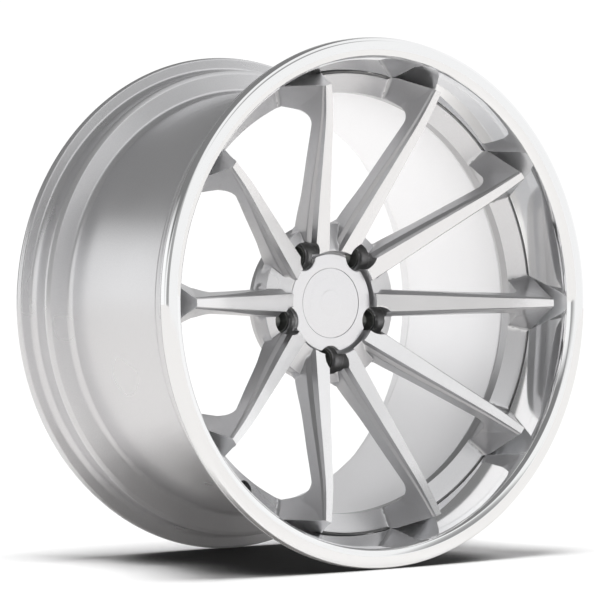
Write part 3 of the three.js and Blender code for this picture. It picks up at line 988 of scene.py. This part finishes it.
def spring_rings():
    """Circles of points round the spring's wire, along its length. The end turns are closed."""
    turns = np.linspace(0, SPRING_TURNS, SPRING_TURNS * STEPS_A_TURN + 1)
    length = SPRING_FAR - SPRING_NEAR
    rise = np.interp(turns, [0, 1, SPRING_TURNS - 1, SPRING_TURNS],
                     [0, SPRING_END_PITCH, length - SPRING_END_PITCH, length])
    c, s, zero = np.cos(2 * math.pi * turns), np.sin(2 * math.pi * turns), np.zeros(len(turns))
    outward = np.stack([c, zero, s], axis=1)
    centres = SPRING_R * outward + np.stack([zero, FRONT_Y + SPRING_NEAR + rise, zero], axis=1)
    along = np.gradient(centres, axis=0)
    side = np.cross(along / np.linalg.norm(along, axis=1, keepdims=True), outward)
    rings = []
    for k in range(WIRE_SIDES):
        t = 2 * math.pi * k / WIRE_SIDES
        rings.append(centres + SPRING_WIRE_R * (math.cos(t) * outward + math.sin(t) * side))
    return np.stack(rings, axis=1)


def valve_spring():
    """The core's return spring, which in the real valve gets shorter as the pin goes in; this mesh keeps one
    length.
    """
    vertices = spring_rings().reshape(-1, 3)
    count = len(vertices)
    faces = [list(range(WIRE_SIDES)), list(range(count - 1, count - WIRE_SIDES - 1, -1))]
    for start in range(0, count - WIRE_SIDES, WIRE_SIDES):
        for k in range(WIRE_SIDES):
            n = (k + 1) % WIRE_SIDES
            faces.append([start + n, start + k, start + WIRE_SIDES + k, start + WIRE_SIDES + n])
    piece = new_object("valve_core_spring_fine", moved(vertices, valve_frame()), faces, "wheel",
                       SPRING_STEEL, ["valve_core_spring"])
    anchor = moved([(0, FRONT_Y + SPRING_FAR + SPRING_WIRE_R, 0)], valve_frame())[0] * MM
    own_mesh(piece)


VALVE_CAP_R = 4.9
KNURLS = 24
KNURL_HEIGHT = 0.25


def valve_cap():
    """The knurled dust cap."""
    outline = [
        (0, -3.4), (4.2, -3.4, 0.4), (VALVE_CAP_R, -2.7, 0.4), (VALVE_CAP_R, 2.9, 0.3),
        (4.2, 2.9, 0.2), (4.2, -2.2, 0.2), (0, -2.2),
    ]
    vertices, faces = revolved(rounded(outline, False), 240, False)
    points = moved(knurled(vertices, VALVE_CAP_R, KNURLS, KNURL_HEIGHT), valve_frame())
    new_object("valve_cap_fine", points, faces, "dust_cap", BLACK, ["valve_cap"])


def valve():
    """The tyre valve, from the stem in the rim to the cap on its end."""
    valve_piece("valve_stem", [
        (2.8, -0.6, 0.2), (STEM_R, -0.6, 0.3), (STEM_R, 12.8), (7, 12.8, 0.4), (7, 15, 0.5),
        (4.6, 15, 0.3), (4.6, 19, 0.4), (2.8, 19, 0.2)], "wheel", ALUMINIUM)
    valve_piece("valve_grommet", ring_box(4.2, 6.9, 11.3, 12.5, 0.4), "wheel", RUBBER)
    valve_piece("valve_washer", ring_box(4.2, 7.3, 6.1, 6.7, 0.15), "wheel", SPRING_STEEL)
    valve_piece("valve_nut", ring_box(4.15, 6.8, 3.3, 5.8, 0.4), "wheel", BLACK, True, 6)
    valve_piece("valve_core_body", [
        (1.75, -0.2, 0.1), (2.4, -0.2, 0.2), (2.4, 9.5, 0.2), (0.95, 9.5, 0.1), (0.95, 8), (1.75, 8)],
        "wheel", BRASS)
    valve_piece("valve_core_pin", [
        (0, -0.5), (0.6, -0.5, 0.2), (0.6, 1.6), (1.4, 1.6, 0.15), (1.4, 2.2, 0.15), (0.6, 2.2), (0.6, 9.8),
        (2.1, 9.8, 0.2), (2.1, 11.2, 0.3), (0, 11.2)], "core_pin", BRASS, False)
    valve_piece("valve_cap_seal", [(0, -1.9), (3.8, -1.9, 0.3), (3.8, -0.95, 0.3), (0, -0.95)],
                "dust_cap_seal", RUBBER, False)
    valve_spring()
    valve_cap()


def ring_box(inner, outer, near, far, corner):
    """Outline of a ring with a rectangular section and rounded corners."""
    return [(inner, near, corner), (outer, near, corner), (outer, far, corner), (inner, far, corner)]


cut(barrel, *valve_cutter(VALVE_SEAT_R, VALVE_SEAT_DEPTH, 26))
cut(barrel, *valve_cutter(VALVE_COUNTERBORE_R, -14, 7))
cut(barrel, *valve_cutter(STEM_R + 0.4, 0, 20))
painted_light_inside(barrel)
centre_disc()
weld_seam()
lug_seats()
lathe("hub_ring_fine", HUB_RING, "wheel", ALUMINIUM, 144)
centre_cap()
cap_emblem()
lathe("cap_wire_ring_fine", ring_outline(32, 110, 0.8), "centre_cap", SPRING_STEEL, 144)
valve()

# ---------------------------------------------------------------- studio
CAMERA_AT = (-1.6568, -2.2465, 0)
CAMERA_HEADING = (0.5923, 0.8057, 0)
CAMERA_LENS = 157.5
CAMERA_SENSOR = 36
CAMERA_SHIFT_UP = 0.005
FLOOR_SIDE = 30
FLOOR_REFLECTED = (0.8, 0.785, 0.77)
CONTACT_REACH = 0.12
CONTACT_DARK = 0.25
CONTACT_CLEAR = 0.9


def camera():
    data = bpy.data.cameras.new("camera")
    data.lens = CAMERA_LENS
    data.sensor_width = CAMERA_SENSOR
    data.shift_y = CAMERA_SHIFT_UP
    made = bpy.data.objects.new("camera", data)
    made.location = CAMERA_AT
    made.rotation_euler = Vector(CAMERA_HEADING).to_track_quat("-Z", "Y").to_euler()
    bpy.context.scene.collection.objects.link(made)
    bpy.context.scene.camera = made


def floor():
    """A pale floor, white to the camera except where the wheel's contact shadow darkens it; that shadow is
    partly painted into the floor's colour from ambient occlusion.
    """
    mesh = bpy.data.meshes.new("floor")
    side, level = FLOOR_SIDE, cad_low.z
    corners = [(-side, -side, level), (side, -side, level), (side, side, level), (-side, side, level)]
    mesh.from_pydata(corners, [], [(0, 1, 2, 3)])
    made = bpy.data.objects.new("floor", mesh)
    bpy.context.scene.collection.objects.link(made)
    surface, tree, shader = material("floor", (0.9, 0.9, 0.9), 0, 0.9)
    seen = add(tree, "ShaderNodeLightPath")
    paint = add(tree, "ShaderNodeMix", data_type="RGBA")
    paint.inputs["A"].default_value = (*FLOOR_REFLECTED, 1)
    tree.links.new(seen.outputs["Is Camera Ray"], paint.inputs["Factor"])
    # Painted shadow: ambient occlusion darkens the floor's colour near the wheel.
    contact = add(tree, "ShaderNodeAmbientOcclusion", samples=12)
    contact.inputs["Distance"].default_value = CONTACT_REACH
    shadow = add(tree, "ShaderNodeMapRange")
    shadow.inputs["From Min"].default_value = CONTACT_DARK
    shadow.inputs["From Max"].default_value = CONTACT_CLEAR
    tree.links.new(contact.outputs["AO"], shadow.inputs["Value"])
    tree.links.new(tint(tree, shadow.outputs["Result"], (0, 0, 0), (0.95, 0.95, 0.95)), paint.inputs["B"])
    tree.links.new(paint.outputs["Result"], shader.inputs["Base Color"])
    mesh.materials.append(surface)
    return made


def softbox(tree, direction, inner_deg, outer_deg, strength, outside=0):
    """Brightness of a soft round light that far round a direction."""
    coordinates = add(tree, "ShaderNodeTexCoord")
    dot = add(tree, "ShaderNodeVectorMath", operation="DOT_PRODUCT")
    dot.inputs[1].default_value = Vector(direction).normalized()
    ranged = add(tree, "ShaderNodeMapRange", interpolation_type="SMOOTHSTEP")
    ranged.inputs["From Min"].default_value = math.cos(math.radians(outer_deg))
    ranged.inputs["From Max"].default_value = math.cos(math.radians(inner_deg))
    ranged.inputs["To Min"].default_value = outside
    ranged.inputs["To Max"].default_value = strength
    tree.links.new(coordinates.outputs["Generated"], dot.inputs[0])
    tree.links.new(dot.outputs["Value"], ranged.inputs["Value"])
    return ranged.outputs["Result"]


# Each light is (direction, full out to, gone at, strength), with its angles in degrees.
SOFTBOXES = [
    ((0.59, -0.75, 0.32), 40, 58, 0.95),
    ((1, 0.1, 0.15), 35, 60, 1.0),
    ((0.5, 0.86, -0.45), 22, 34, 0.75),
    ((-0.65, 0.75, -0.1), 20, 40, 1.05),
    ((-1, -0.1, -0.1), 20, 46, 1.0),
    ((-0.45, -0.89, 0), 20, 40, 0.38),
]
FLAGS = [((0.4, -0.81, 0.43), 5, 17, 0.35)]
DIM = 0.22
DIFFUSE_SHARE = 0.6
BACKDROP = 1.05


def world():
    """Soft lights and dark flags round a dim studio, where the camera sees a plain white backdrop."""
    made = bpy.data.worlds.new("studio")
    made.use_nodes = True
    tree = made.node_tree
    brightest = None
    for box in SOFTBOXES:
        light = softbox(tree, *box)
        larger = add(tree, "ShaderNodeMath", operation="MAXIMUM")
        larger.inputs[0].default_value = DIM
        tree.links.new(light, larger.inputs[1])
        if brightest is not None:
            tree.links.new(brightest, larger.inputs[0])
        brightest = larger.outputs["Value"]
    for flag in FLAGS:
        darker = add(tree, "ShaderNodeMath", operation="MULTIPLY")
        tree.links.new(brightest, darker.inputs[0])
        tree.links.new(softbox(tree, *flag, outside=1), darker.inputs[1])
        brightest = darker.outputs["Value"]
    seen = add(tree, "ShaderNodeLightPath")
    share = add(tree, "ShaderNodeMapRange")
    share.inputs["To Min"].default_value = 1
    share.inputs["To Max"].default_value = DIFFUSE_SHARE
    tree.links.new(seen.outputs["Is Diffuse Ray"], share.inputs["Value"])
    scaled = add(tree, "ShaderNodeMath", operation="MULTIPLY")
    tree.links.new(brightest, scaled.inputs[0])
    tree.links.new(share.outputs["Result"], scaled.inputs[1])
    backdrop = add(tree, "ShaderNodeMix")
    backdrop.inputs["B"].default_value = BACKDROP
    tree.links.new(seen.outputs["Is Camera Ray"], backdrop.inputs["Factor"])
    tree.links.new(scaled.outputs["Value"], backdrop.inputs["A"])
    tree.links.new(backdrop.outputs["Result"], tree.nodes["Background"].inputs["Strength"])
    tree.nodes["Background"].inputs["Color"].default_value = (1, 1, 1, 1)
    bpy.context.scene.world = made


def link_light(made, name, receiver):
    """Adds a light that falls on one object only."""
    lit = bpy.data.collections.new(name)
    lit.objects.link(receiver)
    made.light_linking.receiver_collection = lit
    made.visible_glossy = False
    bpy.context.scene.collection.objects.link(made)


OVERHEAD_ENERGY = 2.9
OVERHEAD_SPREAD_DEG = 24
OVERHEAD_HEADING = (0.1, 0.1, -0.98)


def overhead_light(ground):
    """Soft light from above that falls on the ground only, where it makes the wheel's shadow."""
    data = bpy.data.lights.new("overhead", "SUN")
    data.energy = OVERHEAD_ENERGY
    data.angle = math.radians(OVERHEAD_SPREAD_DEG)
    made = bpy.data.objects.new("overhead", data)
    made.rotation_euler = Vector(OVERHEAD_HEADING).to_track_quat("-Z", "Y").to_euler()
    link_light(made, "ground_only", ground)


FILL_ENERGY = 1.0
FILL_RADIUS = 0.08
FILL_AT = (0, 0.06, 0)


def fill_light(target):
    """A soft lamp behind the disc that brightens the inside of the barrel."""
    data = bpy.data.lights.new("fill", "POINT")
    data.energy = FILL_ENERGY
    data.shadow_soft_size = FILL_RADIUS
    made = bpy.data.objects.new("fill", data)
    made.location = FILL_AT
    made.visible_camera = False
    link_light(made, "barrel_only", target)


camera()
world()
overhead_light(floor())
fill_light(barrel)
bpy.context.scene.view_settings.view_transform = "Standard"
